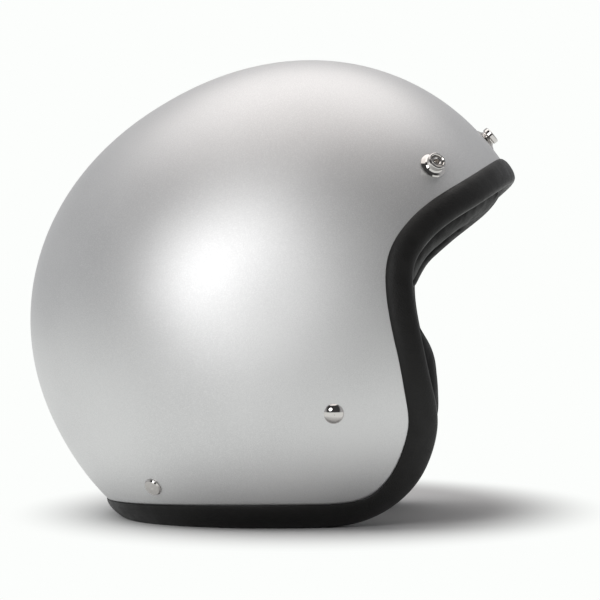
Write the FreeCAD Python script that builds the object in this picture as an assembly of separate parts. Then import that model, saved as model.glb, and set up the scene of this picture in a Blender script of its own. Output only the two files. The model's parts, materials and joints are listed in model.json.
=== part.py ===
"""Open face motorcycle helmet, modelled in millimetres.

Frame: +X is the way the face looks, +Y the wearer's left, +Z up. The origin is under the middle of the
helmet's box, on the plane that its lower rim stands on.

The shell is a superellipsoid whose long axis leans up and forward. Every layer inside it (impact liner,
lining, pads) is the same formula taken further in, and each is trimmed by an outline drawn in side view.
The edge trim is one closed roll that follows the shell's edge all the way round.
"""

import FreeCAD, Part
import math
import os

Vector = FreeCAD.Vector

# ---------------------------------------------------------------- driving dimensions
SHELL_CENTRE_X = 9.0
SHELL_CENTRE_Z = 110.6
SHELL_LONG = 140.1          # half length along the leaning axis
SHELL_SHORT = 131.2         # half height across it
SHELL_HALF_WIDTH = 114.0
SHELL_LEAN = math.radians(30.0)
PROFILE_POWER = 2.118       # squareness of the side view
WIDTH_POWER = 2.4           # squareness across the head
WIDTH_TAPER = 0.14          # the sides widen towards the rim by this share

# layers, as depths below the outer surface
SHELL_WALL = 3.5
LINER_OUT, LINER_IN = 3.9, 27.0      # impact liner
LINING_OUT, LINING_IN = 27.4, 31.5   # padded cloth lining, and the brow pad's flap
PAD_WRAP_OUT = 8.0                   # where the pads start behind the trim
BLOCK_OUT, BLOCK_IN = 10.5, 22.0     # foam block behind each cheek pad; the neck roll starts as deep
CHEEK_OUT, CHEEK_IN = 22.4, 37.0
NECK_IN = 33.0

# the shell's edge in side view (x, z): brow, temple, cheek, chin corner; the rim then runs straight back
EDGE = [
    (130.4, 185.6), (108.3, 169.0), (90.0, 156.4), (79.3, 145.5), (73.7, 135.7),
    (72.4, 121.0), (74.7, 104.7), (78.4, 87.5), (81.9, 71.7), (85.0, 55.5),
    (83.0, 40.2), (76.2, 24.6), (64.0, 12.0), (47.4, 4.4), (29.7, 2.4),
]
RIM_REAR_Z = 2.2
FAR = 260.0                  # well outside the helmet
BACK_OF_HEAD = (-31.0, 0, 140.6)   # a place that every part of the shell's edge faces away from
SCRAP = 1.0                  # mm3; smaller solids are only the leavings of a cut

TRIM_CENTRE = (-3.0, -1.75)  # from the shell's edge: past it, and out of the outer surface
TRIM_HALF = (7.5, 4.1)
TRIM_POWER = 2.4             # squareness of the roll's section
TRIM_REAR_EXTRA = 1.8        # the roll is this much wider at the rear of the rim,
TRIM_CHIN_EXTRA = 5.8        # and this much at the chin corners
TRIM_REAR_X, TRIM_CHIN_X = -120.0, 70.0
TRIM_WIDENS_Z = (90.0, 15.0)  # it starts to widen at the first height and has its full width at the second
TRIM_GAP = 0.25              # play round the shell's edge in the roll's slot
TRIM_STATIONS = 96
TRIM_RING = 16

STUD_SIDE = (86.3, 183.6)   # x, z of the side studs; the centre one sits on the middle line
STUD_CENTRE_Z = 203.0
STUD_CAP_R = 4.8
STUD_CAP = (3.1, 5.0)       # the straight part of the cap, heights above the shell
EYELET_R = 2.25
STUD_BORE_R = EYELET_R + 0.05
STUD_SHAPE = [              # radius and height: foot, waist, cap, and the dish that the eyelet is rolled into
    (STUD_BORE_R, 0), (6.8, 0), (6.9, 0.35), (6.2, 0.8), (5.0, 1.3), (4.3, 2.0), (4.15, 2.5), (4.45, 2.85),
    (STUD_CAP_R, STUD_CAP[0]), (STUD_CAP_R, STUD_CAP[1]), (4.6, 5.3), (4.2, 5.5), (3.7, 5.5), (3.4, 5.2),
    (3.4, 3.9), (STUD_BORE_R, 3.9),
]
EYELET_SHAPE = [            # radius and height: spread end over the washer, barrel, rolled rim in the cap
    (0, -5.7), (3.3, -5.7), (3.4, -5.2), (EYELET_R, -4.95), (EYELET_R, 3.95), (3.2, 4.0), (3.25, 4.4),
    (2.8, 4.9), (2.1, 4.9), (1.5, 4.5), (1.4, 1.0), (0, 1.0),
]
STUD_WASHER_R = 6.0
STUD_WASHER_Z = (-4.75, -3.75)
STUD_POCKET_R, STUD_POCKET_DEPTH = 7.0, 6.6   # room for the washer in the impact liner
STUD_HOLE_Z = (-8.0, 4.0)

FRONT_RIVET = (37.3, 58.9)
REAR_RIVET = (-55.3, 20.8)
DOME_R, DOME_H = 5.0, 2.4   # front rivet's head
DISC_SHAPE = [(0, 0), (4.75, 0), (4.75, 0.5), (4.15, 1.2), (0, 1.35)]   # rear rivet's head, radius and height
RIVET_SHANK_R = 2.3
RIVET_HOLE_Z = (-12.0, 4.0)
HOLE_CLEARANCE = 0.2
PLATE = (18.0, 13.0, 1.6)   # steel plate behind each rivet
PLATE_CORNER_R = 4.0
PLATE_GAP = 0.95            # a flat plate's middle stands off the curved shell by this
WASHER_R, WASHER_T, WASHER_GAP = 5.0, 1.0, 0.25
PEEN_R, PEEN_T = 3.6, 1.0

WEB_T = 1.5                 # strap webbing
WEB_W = 20.5
WEB_CORNER = 4.0            # cut off each corner of a strap's end
LEG_DEPTH = 6.4             # how far inside the outer surface the strap legs run
LEG_INNER_Y = 30.0          # the legs are cut out of their layer from here outwards
LEG_FOOT_Z = 10.0
LEG_PAST_RIVET = (9.0, 10.0)   # the front leg goes on above its rivet, and the rear leg behind its own
REAR_LEG_Z = (12.0, 31.5)
STRAP_Z = 3.8               # height of the straps' middle plane, as they lie
STRAP_EXIT = (37.3, 66.0)   # x and distance from the middle, where each chin strap leaves its leg
LONG_STRAP_TURN = math.radians(30.0)   # the long strap lies turned towards the back
HINGE_GAP = 1.1             # from the swing axis back to the end of the fixed leg
SLEEVE_START, SLEEVE_W, SLEEVE_T, SLEEVE_R = 6.0, 25.0, 6.0, 2.6
SHORT_SLEEVE_END, LONG_SLEEVE_END = 43.0, 62.0
LOOP_START, LOOP_FULL = 46.0, 52.0
LONG_STRAP = 104.0          # from the swing axis to the fold where the tail turns back
TAIL_LENGTH, TAIL_GAP = 36.0, 2.25   # TAIL_GAP is between the middle planes of the two layers
FOLD_R = (TAIL_GAP + WEB_T) / 2
FOLD_CLEARANCE = 0.1
SNAP_AT = 77.0
SNAP_CAP_R, SNAP_STUD_R = 4.4, 2.0   # where they pass through the webbing
SNAP_CLEARANCE = 0.05
SNAP_CAP_SHAPE = [          # radius and height above the tail's lower face
    (3.3, 0), (SNAP_CAP_R, 0), (SNAP_CAP_R, WEB_T), (5.6, WEB_T), (5.6, WEB_T + 0.5), (4.2, WEB_T + 1.3),
    (0, WEB_T + 1.6), (0, 1.4), (3.3, 1.4),
]
SNAP_STUD_SHAPE = [         # radius and height above the strap's lower face
    (0, -0.8), (5.0, -0.8), (5.0, 0), (SNAP_STUD_R, 0), (SNAP_STUD_R, WEB_T), (2.8, WEB_T + 0.4),
    (2.8, WEB_T + 1.1), (2.3, WEB_T + 1.5), (0, WEB_T + 1.5),
]
RING_WIRE_R = 1.6
RING_CLEARANCE = 0.05
RING_BARS = (56.0, 61.0)    # outer and inner ring's bar, along the short strap
RING_HALF = (16.05, 12.35)
RING_LEG = (10.0, 5.0)

LINER_INSET = 12.5          # the impact liner stops this far behind the shell's edge
LINER_BROW_END = 5          # the last of the edge's points that it follows
LINER_FOOT = [(-18.0, 110.0), (-48.0, 50.0), (-FAR, 46.0)]   # x, z: its lower edge, from the ear to the rear
CROWN_INSET, CROWN_LIFT = 38.0, 2.5   # the crown pad stops further behind the edge and above the liner's foot
BROW_REACH = [3.0, 5.4, 7.2, 6.9, 5.6, 2.6, 1.0]   # the brow pad reaches this far past the edge's points
BROW_ROLL_BACK = 11.5       # its roll goes back this far behind the edge,
BROW_FLAP = (11.0, 37.0)    # and its flap lies between these distances behind it
BROW_FOOT_Z = 123.0

CHEEK_BOTTOM_Z = 11.5
CHEEK_REAR_X = -14.0
CHEEK_INNER_Y = 56.0        # the cheek pads stop this far from the middle
CHEEK_EDGE = (5, 12)        # the first and last of the edge's points that a cheek pad runs along
CHEEK_REACH = [2.6, 2.6, 7.4, 6.3, 3.0, -2.0, -6.0, -8.0]   # it reaches this far past the edge at each
CHEEK_CORNER = 6.0          # its lower front corner is cut off by this
CHEEK_ROOM = 1.5            # play left round it in the impact liner and the crown pad
BLOCK_INSET = 14.0          # the foam block stops this far behind the edge
WRAP_BACK = 12.5            # the pad's front wraps round the block this far behind the edge
WRAP_BESIDE = 2.0           # what is cut away behind the wrap goes on past the pad by this
CHEEK_SNAPS = [(8.0, 84.0), (8.0, 36.0), (52.0, 62.0)]   # x, z of the press fasteners behind each cheek pad
CHEEK_POST_R, CHEEK_SOCKET_R = 2.8, 6.0
POST_BASE_T, POST_LENGTH = 1.2, 2.6
SOCKET_NEAR, SOCKET_FLOOR, SOCKET_FAR = 0.9, 3.0, 4.2   # its rim, floor and back, below the post's base
SOCKET_CLEARANCE = 0.3

NECK_ROLL_SIDE = [(-FAR, 46.0), (-47.0, 46.0), (-28.0, 32.0)]   # x, z: its top edge in side view
NECK_FOOT_Z = 9.5
NECK_OPENING = (66.0, 74.0)  # half length and half width of the hole the neck comes through

PARTS = "parts"


# ---------------------------------------------------------------- the shell's formula
def signed_power(value, power):
    return math.copysign(abs(value) ** power, value)


def shell_value(x, y, z, depth):
    """Below 1 inside the layer that lies depth under the outer surface, 1 on it, above 1 outside."""
    dx, dz = x - SHELL_CENTRE_X, z - SHELL_CENTRE_Z
    along = dx * math.cos(SHELL_LEAN) + dz * math.sin(SHELL_LEAN)
    across = -dx * math.sin(SHELL_LEAN) + dz * math.cos(SHELL_LEAN)
    width = (SHELL_HALF_WIDTH - depth) * (1 - WIDTH_TAPER * dz / SHELL_SHORT)
    side = (abs(along / (SHELL_LONG - depth)) ** PROFILE_POWER
            + abs(across / (SHELL_SHORT - depth)) ** PROFILE_POWER) ** (1 / PROFILE_POWER)
    return (side ** WIDTH_POWER + abs(y / width) ** WIDTH_POWER) ** (1 / WIDTH_POWER)


def bisect(inside, low, high):
    for _ in range(48):
        middle = (low + high) / 2
        if inside(middle):
            low = middle
        else:
            high = middle
    return (low + high) / 2


def shell_point(direction, depth=0.0):
    """The point of a layer in a direction from the shell's centre."""
    def inside(r):
        p = direction * r
        return shell_value(SHELL_CENTRE_X + p.x, p.y, SHELL_CENTRE_Z + p.z, depth) < 1
    return Vector(SHELL_CENTRE_X, 0, SHELL_CENTRE_Z) + direction * bisect(inside, 0.0, FAR)


def half_width(x, z, depth=0.0):
    """How far from the middle the layer lies at a place in side view."""
    if shell_value(x, 0, z, depth) >= 1:
        return 0.0
    return bisect(lambda y: shell_value(x, y, z, depth) < 1, 0.0, FAR)


def shell_normal(p):
    step = 0.01
    gradient = [
        shell_value(p.x + step * (k == 0), p.y + step * (k == 1), p.z + step * (k == 2), 0)
        - shell_value(p.x - step * (k == 0), p.y - step * (k == 1), p.z - step * (k == 2), 0)
        for k in range(3)
    ]
    return Vector(*gradient).normalize()


# ---------------------------------------------------------------- smooth closed surfaces
def periodic_poles(samples):
    """Control points of the closed uniform cubic spline through the samples."""
    poles = list(samples)
    count = len(samples)
    for _ in range(40):
        poles = [(samples[i] * 6 - poles[i - 1] - poles[(i + 1) % count]) / 4 for i in range(count)]
    return poles


def solid_of(surface):
    solid = Part.Solid(Part.Shell([surface.toShape()]))
    if solid.Volume < 0:
        solid.reverse()
    return solid


def ring_solid(grid):
    """A closed ring-shaped solid through grid[station][point round the section]."""
    rows = [periodic_poles(row) for row in grid]
    columns = [periodic_poles([row[k] for row in rows]) for k in range(len(grid[0]))]
    poles = [[column[i] for column in columns] for i in range(len(grid))]
    u, v = len(poles), len(poles[0])
    surface = Part.BSplineSurface()
    surface.buildFromPolesMultsKnots(
        poles, [1] * (u + 1), [1] * (v + 1), list(range(u + 1)), list(range(v + 1)), True, True, 3, 3)
    return solid_of(surface)


def layer_solid(depth, turns=28, heights=21):
    """Everything inside the layer that lies depth under the outer surface, as one egg-shaped solid."""
    levels = [math.pi * (i / (heights - 1) - 0.5) for i in range(heights)]
    meridians = []
    for k in range(turns):
        turn = 2 * math.pi * k / turns
        points = []
        for lat in levels:
            flat = math.cos(lat)
            direction = Vector(flat * math.cos(turn), flat * math.sin(turn), math.sin(lat))
            points.append(shell_point(direction, depth))
        curve = Part.BSplineCurve()
        curve.interpolate(Points=points, Parameters=[float(i) for i in range(heights)])
        meridians.append(curve)
    rows = [periodic_poles([m.getPole(j + 1) for m in meridians]) for j in range(meridians[0].NbPoles)]
    poles = [[row[k] for row in rows] for k in range(turns)]
    surface = Part.BSplineSurface()
    surface.buildFromPolesMultsKnots(
        poles, [1] * (turns + 1), meridians[0].getMultiplicities(), list(range(turns + 1)),
        meridians[0].getKnots(), True, False, 3, 3)
    return solid_of(surface)


# ---------------------------------------------------------------- outlines in side view
def side(x, z):
    return Vector(x, 0, z)


def edge_offset(distance, first=0, last=None):
    """Points of the shell's edge moved into the opening (plus) or back over the shell (minus)."""
    chosen = range(first, len(EDGE) if last is None else last + 1)
    moved = []
    for i in chosen:
        before, after = EDGE[max(i - 1, 0)], EDGE[min(i + 1, len(EDGE) - 1)]
        dx, dz = after[0] - before[0], after[1] - before[1]
        size = math.hypot(dx, dz)
        moved.append((EDGE[i][0] - dz / size * distance, EDGE[i][1] + dx / size * distance))
    return moved


def outline(*runs):
    """A closed face in side view, from runs of ("line" or "curve", points) joined by straight edges."""
    edges, start, here = [], None, None
    for kind, points in runs:
        points = [side(*p) for p in points]
        if here is not None and here.distanceToPoint(points[0]) > 1e-6:
            edges.append(Part.LineSegment(here, points[0]).toShape())
        if kind == "curve":
            curve = Part.BSplineCurve()
            curve.interpolate(points)
            edges.append(curve.toShape())
        else:
            edges += [Part.LineSegment(a, b).toShape() for a, b in zip(points, points[1:])]
        start = start or points[0]
        here = points[-1]
    edges.append(Part.LineSegment(here, start).toShape())
    return Part.Face(Part.Wire(edges))


def through(face, low=-FAR, high=FAR):
    """The outline carried through the helmet from one side (low y) to the other (high y)."""
    moved = face.copy()
    moved.translate(Vector(0, low, 0))
    return moved.extrude(Vector(0, high - low, 0))


def brow_lead(points, spacings=4):
    """A point far in front, in line with the brow's edge."""
    (x0, z0), (x1, z1) = points[1], points[0]
    return (x1 + (x1 - x0) * spacings, z1 + (z1 - z0) * spacings)


def edge_region(distance):
    """The side view region that the shell covers, with its edge moved by distance."""
    points = edge_offset(distance)
    return outline(
        ("line", [(-FAR, 2 * FAR), (FAR, 2 * FAR), brow_lead(points)]),
        ("curve", points),
        ("line", [points[-1], (-FAR, RIM_REAR_Z - distance)]))


def between(outer, inner, region, low=-FAR, high=FAR):
    """The part of the layer between two egg solids that an outline covers."""
    return tidy(outer.common(through(region, low, high)).cut(inner))


def tidy(shape):
    solids = [s for s in shape.Solids if s.Volume > SCRAP]
    return solids[0] if len(solids) == 1 else Part.makeCompound(solids)


# ---------------------------------------------------------------- helpers for small parts
def revolved(profile):
    """A solid of revolution about +Z from (radius, height) points."""
    wire = Part.makePolygon([Vector(r, 0, h) for r, h in profile + [profile[0]]])
    return Part.Face(wire).revolve(Vector(0, 0, 0), Vector(0, 0, 1), 360).Solids[0]


def disc(radius, low, high, bore=0.0):
    shape = Part.makeCylinder(radius, high - low, Vector(0, 0, low))
    return shape.cut(Part.makeCylinder(bore, high - low, Vector(0, 0, low))) if bore else shape


def seat(shape, place):
    moved = shape.copy()
    moved.Placement = place.multiply(moved.Placement)
    return moved


def shell_seat(x, z, hand):
    """A placement on the outer surface with local +Z out of it and local +X level, towards the front."""
    y = half_width(x, z) * hand
    p = Vector(x, y, z)
    n = shell_normal(p)
    level = Vector(0, 0, 1).cross(n) * -hand if hand else Vector(0, 1, 0)
    level.normalize()
    return FreeCAD.Placement(p, FreeCAD.Rotation(level, n.cross(level), n, "ZXY"))


def depth_below(place, depth):
    """How far under the outer surface, straight in, a layer lies at a placement on that surface."""
    inward = place.Rotation.multVec(Vector(0, 0, -1))
    p = place.Base

    def outside(t):
        q = p + inward * t
        return shell_value(q.x, q.y, q.z, depth) > 1
    return bisect(outside, 0.0, SHELL_SHORT / 2)


def mirrored(shape):
    return shape.mirror(Vector(0, 0, 0), Vector(0, 1, 0))


def rounded_box(length, width, height, radius):
    box = Part.makeBox(length, width, height)
    box.translate(Vector(0, -width / 2, -height / 2))
    return box.makeFillet(radius, box.Edges)


def upright_edges(shape):
    nearly_upright = 0.9
    return [e for e in shape.Edges if abs(e.tangentAt(e.FirstParameter).z) > nearly_upright]


def strip(length, width, thickness, start=0.0, middle=0.0):
    """A flat strip along local +X, its middle plane at height middle."""
    return Part.makeBox(length, width, thickness, Vector(start, -width / 2, middle - thickness / 2))


# ---------------------------------------------------------------- shell, liner and soft parts
def make_shell(eggs, holes):
    return tidy(eggs["out"].common(through(edge_region(0))).cut(eggs["shell_in"]).cut(holes))


def edge_path(count):
    """Points of the shell's edge in space, evenly spaced all the way round from the middle of the brow."""
    curve = Part.BSplineCurve()
    curve.interpolate([side(*p) for p in EDGE])
    begin, end = curve.FirstParameter, curve.LastParameter

    def covered(back):
        p = curve.value(end - back)
        return shell_value(p.x, 0, p.z, 0) < 1
    tip = end - bisect(covered, 0.0, end - begin)
    rear_x = bisect(lambda x: shell_value(-x, 0, RIM_REAR_Z, 0) < 1, 0.0, FAR)
    fine = 400
    samples = [curve.value(tip + (i / fine) ** 2 * (end - tip)) for i in range(fine + 1)]
    run = side(-rear_x, RIM_REAR_Z) - samples[-1]
    corner = samples[-1]
    samples += [corner + run * (1 - (1 - i / fine) ** 2) for i in range(1, fine + 1)]
    half = [Vector(p.x, -half_width(p.x, p.z), p.z) for p in samples]
    half[0].y = half[-1].y = 0
    loop = half + [Vector(p.x, -p.y, p.z) for p in reversed(half[1:-1])]
    lengths = [0.0]
    for a, b in zip(loop, loop[1:] + loop[:1]):
        lengths.append(lengths[-1] + a.distanceToPoint(b))
    spaced, j = [], 0
    for i in range(count):
        target = lengths[-1] * i / count
        while lengths[j + 1] < target:
            j += 1
        share = (target - lengths[j]) / (lengths[j + 1] - lengths[j])
        spaced.append(loop[j] + (loop[(j + 1) % len(loop)] - loop[j]) * share)
    return spaced


def trim_extra(p):
    """How much wider the roll is at a point of the edge than it is at the brow."""
    high, low = TRIM_WIDENS_Z
    fall = min(1.0, max(0.0, (high - p.z) / (high - low)))
    ahead = min(1.0, max(0.0, (p.x - TRIM_REAR_X) / (TRIM_CHIN_X - TRIM_REAR_X)))
    return fall * fall * (3 - 2 * fall) * (TRIM_REAR_EXTRA + ahead * (TRIM_CHIN_EXTRA - TRIM_REAR_EXTRA))


def make_trim(eggs):
    """One closed roll round the shell's edge, slotted to grip it and flat underneath where it stands."""
    path = edge_path(TRIM_STATIONS)
    grid = []
    for i, p in enumerate(path):
        tangent = (path[(i + 1) % len(path)] - path[i - 1]).normalize()
        n = shell_normal(p)
        beyond = n.cross(tangent).normalize()
        if beyond.dot(p - Vector(*BACK_OF_HEAD)) < 0:
            beyond = beyond * -1
        extra = trim_extra(p)
        ring = []
        for k in range(TRIM_RING):
            turn = 2 * math.pi * k / TRIM_RING
            half = TRIM_HALF[0] + extra / 2
            a = TRIM_CENTRE[0] - extra / 2 + half * signed_power(math.cos(turn), 2 / TRIM_POWER)
            b = TRIM_CENTRE[1] + TRIM_HALF[1] * signed_power(math.sin(turn), 2 / TRIM_POWER)
            ring.append(p + beyond * a + n * b)
        grid.append(ring)
    slot = eggs["trim_slot_out"].common(through(edge_region(TRIM_GAP))).cut(eggs["trim_slot_in"])
    above_floor = Part.makeBox(2 * FAR, 2 * FAR, 2 * FAR, Vector(-FAR, -FAR, 0))
    return tidy(ring_solid(grid).cut(slot).common(above_floor))


def edge_reach(first, last, reach):
    """Points of the shell's edge, each moved into the opening by its own distance."""
    moved = []
    ahead = edge_offset(1, first, last)
    for (x0, z0), (x1, z1), amount in zip(EDGE[first:last + 1], ahead, reach):
        moved.append((x0 + (x1 - x0) * amount, z0 + (z1 - z0) * amount))
    return moved


def liner_region(inset, lift):
    """Side view region of the impact liner or of the crown pad inside it."""
    brow = edge_offset(-inset, 0, LINER_BROW_END)
    foot = [(x, z + lift) for x, z in LINER_FOOT]
    return outline(
        ("line", [(-FAR, 2 * FAR), (FAR, 2 * FAR), brow_lead(brow)]),
        ("curve", brow),
        ("line", [(brow[-1][0], foot[0][1])] + foot))


def brow_band(reach, back):
    """Side view region along the brow: from past the shell's edge back over the shell."""
    last = len(BROW_REACH) - 1
    low = edge_reach(0, last, reach)
    high = edge_offset(-back, 0, last)
    return outline(("line", [brow_lead(high), brow_lead(low)]), ("curve", low), ("curve", high[::-1]))


def make_brow_pad(eggs):
    """A roll along the brow, with a flap that lies against the impact liner behind it."""
    flap_start, flap_end = BROW_FLAP
    above_cheeks = Part.makeBox(2 * FAR, 2 * FAR, FAR, Vector(-FAR, -FAR, BROW_FOOT_Z))
    roll = eggs["wrap"].common(through(brow_band(BROW_REACH, BROW_ROLL_BACK)))
    flap = eggs["lining_out"].common(through(brow_band([-flap_start] * len(BROW_REACH), flap_end)))
    return tidy(roll.fuse(flap).cut(eggs["lining_in"]).common(above_cheeks).removeSplitter())


def make_neck_roll(eggs):
    """A roll of padding round the back of the neck, hollowed by the opening that the neck comes through."""
    front = NECK_ROLL_SIDE[-1][0]
    region = outline(("line", NECK_ROLL_SIDE + [(front, NECK_FOOT_Z), (-FAR, NECK_FOOT_Z)]))
    length, width = NECK_OPENING
    opening = Part.makeCylinder(width, 2 * NECK_ROLL_SIDE[0][1])
    stretch = FreeCAD.Matrix(length / width, 0, 0, 0, 0, 1, 0, 0, 0, 0, 1, 0)
    opening = opening.transformGeometry(stretch)
    return tidy(between(eggs["block_out"], eggs["neck_in"], region).cut(opening))


def cheek_region(reach, beyond=0.0):
    """Side view region of a cheek piece, with its reach past the edge's points and beyond its other sides."""
    front = edge_reach(*CHEEK_EDGE, reach)
    rear, top, bottom = CHEEK_REAR_X - beyond, front[0][1] + beyond, CHEEK_BOTTOM_Z - beyond
    return outline(
        ("line", [(rear, bottom), (rear, top), (front[0][0], top)]),
        ("curve", front),
        ("line", [(front[-1][0] - CHEEK_CORNER, bottom)]))


def make_cheek_pad(eggs, stretch_y):
    """A pad over the foam block, with a front that wraps round the block towards the trim."""
    region = through(cheek_region(CHEEK_REACH), *stretch_y)
    behind_wrap = through(cheek_region([-WRAP_BACK] * len(CHEEK_REACH), WRAP_BESIDE), *stretch_y)
    face = eggs["cheek_out"].common(region)
    wrap = eggs["wrap"].common(region).cut(behind_wrap)
    return tidy(face.fuse(wrap).cut(eggs["cheek_in"]).removeSplitter())


def make_cheek_snap(base):
    """A post with its base on the foam block at height base, and the socket that it presses into."""
    post = disc(CHEEK_SOCKET_R, base, base + POST_BASE_T).fuse(disc(CHEEK_POST_R, base - POST_LENGTH, base))
    bore = CHEEK_POST_R + SOCKET_CLEARANCE
    near, floor, far = base - SOCKET_NEAR, base - SOCKET_FLOOR, base - SOCKET_FAR
    wall = [(bore, near), (CHEEK_SOCKET_R, near), (CHEEK_SOCKET_R, far)]
    socket = revolved(wall + [(0, far), (0, floor), (bore, floor)])
    return post.removeSplitter(), socket


def make_cheeks(eggs):
    """On each side a foam block fixed in the shell, and a pad that is pressed on to it by snaps."""
    stretch_y = (-FAR, -CHEEK_INNER_Y)
    block_side = cheek_region([-BLOCK_INSET] * len(CHEEK_REACH))
    block = between(eggs["block_out"], eggs["block_in"], block_side, *stretch_y)
    pad = make_cheek_pad(eggs, stretch_y)
    posts, sockets = [], []
    for x, z in CHEEK_SNAPS:
        place = shell_seat(x, z, -1)
        base = -depth_below(place, BLOCK_IN)
        post, socket = make_cheek_snap(base)
        posts.append(seat(post, place))
        sockets.append(seat(socket, place))
        block = block.cut(seat(disc(CHEEK_SOCKET_R, base - SOCKET_NEAR, base + POST_BASE_T), place))
        pad = pad.cut(seat(disc(CHEEK_SOCKET_R, base - SOCKET_FAR, base + POST_BASE_T), place))
    pieces = {
        "cheek_block": block, "cheek_pad": pad, "cheek_snap_posts": Part.makeCompound(posts),
        "cheek_snap_sockets": Part.makeCompound(sockets),
    }
    made = {name + "_right": shape for name, shape in pieces.items()}
    made.update({name + "_left": mirrored(shape) for name, shape in pieces.items()})
    return made


# ---------------------------------------------------------------- studs, rivets and plates
def make_studs(stud_seats):
    """Snap studs that a visor presses over, the rolled eyelets that hold them, and their inner washers."""
    washer = disc(STUD_WASHER_R, *STUD_WASHER_Z, EYELET_R + 0.1)
    places = stud_seats.values()
    made = {"snap_stud_" + name: seat(revolved(STUD_SHAPE), p) for name, p in stud_seats.items()}
    made["stud_eyelets"] = Part.makeCompound([seat(revolved(EYELET_SHAPE), p) for p in places])
    made["stud_washers"] = Part.makeCompound([seat(washer, p) for p in places])
    return made


def make_rivet_stack(domed, place):
    """A rivet with the steel plate between shell and webbing and the washer under its spread end."""
    plate_top = -depth_below(place, SHELL_WALL) - PLATE_GAP
    washer_top = -depth_below(place, LEG_DEPTH + WEB_T) - WASHER_GAP
    peen_top = washer_top - WASHER_T
    shank = disc(RIVET_SHANK_R, peen_top, 0)
    peen = disc(PEEN_R, peen_top - PEEN_T, peen_top)
    if domed:
        ball = (DOME_R ** 2 + DOME_H ** 2) / (2 * DOME_H)
        head = Part.makeSphere(ball, Vector(0, 0, DOME_H - ball)).common(disc(DOME_R, 0, DOME_H))
    else:
        head = revolved(DISC_SHAPE)
    length, width, thickness = PLATE
    box = Part.makeBox(length, width, thickness, Vector(-length / 2, -width / 2, plate_top - thickness))
    hole = disc(RIVET_SHANK_R + HOLE_CLEARANCE, plate_top - 2 * thickness, 0)
    plate = box.makeFillet(PLATE_CORNER_R, upright_edges(box)).cut(hole)
    washer = disc(WASHER_R, peen_top, washer_top, RIVET_SHANK_R + HOLE_CLEARANCE)
    return [seat(piece, place) for piece in (head.fuse([shank, peen]).removeSplitter(), plate, washer)]


def make_rivets(rivet_seats):
    """The rivets that hold the strap legs, with their plates and washers."""
    made, washers = {}, []
    for name, place in rivet_seats.items():
        rivet, plate, washer = make_rivet_stack(name.startswith("front"), place)
        made["strap_rivet_" + name] = rivet
        made["anchor_plate_" + name] = plate
        washers.append(washer)
    made["rivet_washers"] = Part.makeCompound(washers)
    return made


# ---------------------------------------------------------------- straps
def make_front_leg(eggs, hand, turn, hole):
    """Webbing from the front rivet down inside the shell, then in under the cheek pad to the chin strap."""
    x0, x1 = FRONT_RIVET[0] - WEB_W / 2, FRONT_RIVET[0] + WEB_W / 2
    top = FRONT_RIVET[1] + LEG_PAST_RIVET[0]
    shoulder = top - WEB_CORNER
    drop = outline(("line", [
        (x0, LEG_FOOT_Z), (x0, shoulder), (x0 + WEB_CORNER, top),
        (x1 - WEB_CORNER, top), (x1, shoulder), (x1, LEG_FOOT_Z)]))
    wall = between(eggs["leg_out"], eggs["leg_in"], drop, *sorted((hand * LEG_INNER_Y, hand * FAR)))
    along, across = strap_directions(hand, turn)
    foot = Vector(STRAP_EXIT[0], STRAP_EXIT[1] * hand, STRAP_Z) - along * HINGE_GAP
    ends = [foot - across * (WEB_W / 2), foot + across * (WEB_W / 2)]
    down = Vector(0, 0, WEB_T / 2)
    near = Part.makePolygon([ends[0] - down, ends[1] - down, ends[1] + down, ends[0] + down, ends[0] - down])
    back = LEG_DEPTH + WEB_T
    corners = [(x0, LEG_DEPTH), (x1, LEG_DEPTH), (x1, back), (x0, back), (x0, LEG_DEPTH)]
    far = [Vector(x, half_width(x, LEG_FOOT_Z, depth) * hand, LEG_FOOT_Z) for x, depth in corners]
    ramp = Part.makeLoft([Part.makePolygon(far), near], True, True)
    if ramp.Volume < 0:
        ramp.reverse()
    return tidy(wall.fuse(ramp).cut(hole))


def make_rear_leg(eggs, hand, hole):
    """Webbing from the rear rivet forward along the rim to the front leg, where it is sewn on."""
    low, high = REAR_LEG_Z
    joined = FRONT_RIVET[0] - WEB_W / 2
    end = REAR_RIVET[0] - LEG_PAST_RIVET[1]
    run = outline(("line", [
        (joined, low), (joined, high), (end + WEB_CORNER, high),
        (end, high - WEB_CORNER), (end, low + WEB_CORNER), (end + WEB_CORNER, low)]))
    wall = between(eggs["leg_out"], eggs["leg_in"], run, *sorted((hand * LEG_INNER_Y, hand * FAR)))
    return tidy(wall.cut(hole))


def strap_directions(hand, turn):
    """The way a chin strap runs inwards from its leg, and the way across it that faces forwards."""
    along = Vector(-math.sin(turn), -hand * math.cos(turn), 0)
    return along, Vector(math.cos(turn), -hand * math.sin(turn), 0)


def strap_place(hand, turn):
    """A placement with local +X along the strap, its origin on the strap's swing axis."""
    along, _ = strap_directions(hand, turn)
    up = Vector(0, 0, 1)
    spot = Vector(STRAP_EXIT[0], STRAP_EXIT[1] * hand, STRAP_Z)
    return FreeCAD.Placement(spot, FreeCAD.Rotation(along, up.cross(along), up, "ZXY"))


def crosswise(radius, x, z, width):
    return Part.makeCylinder(radius, width, Vector(x, -width / 2, z), Vector(0, 1, 0))


def make_sleeve(end):
    """A padded sleeve with the strap running through it."""
    body = rounded_box(end - SLEEVE_START, SLEEVE_W, SLEEVE_T, SLEEVE_R)
    body.translate(Vector(SLEEVE_START, 0, 0))
    return body.cut(strip(end, WEB_W, WEB_T))


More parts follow.
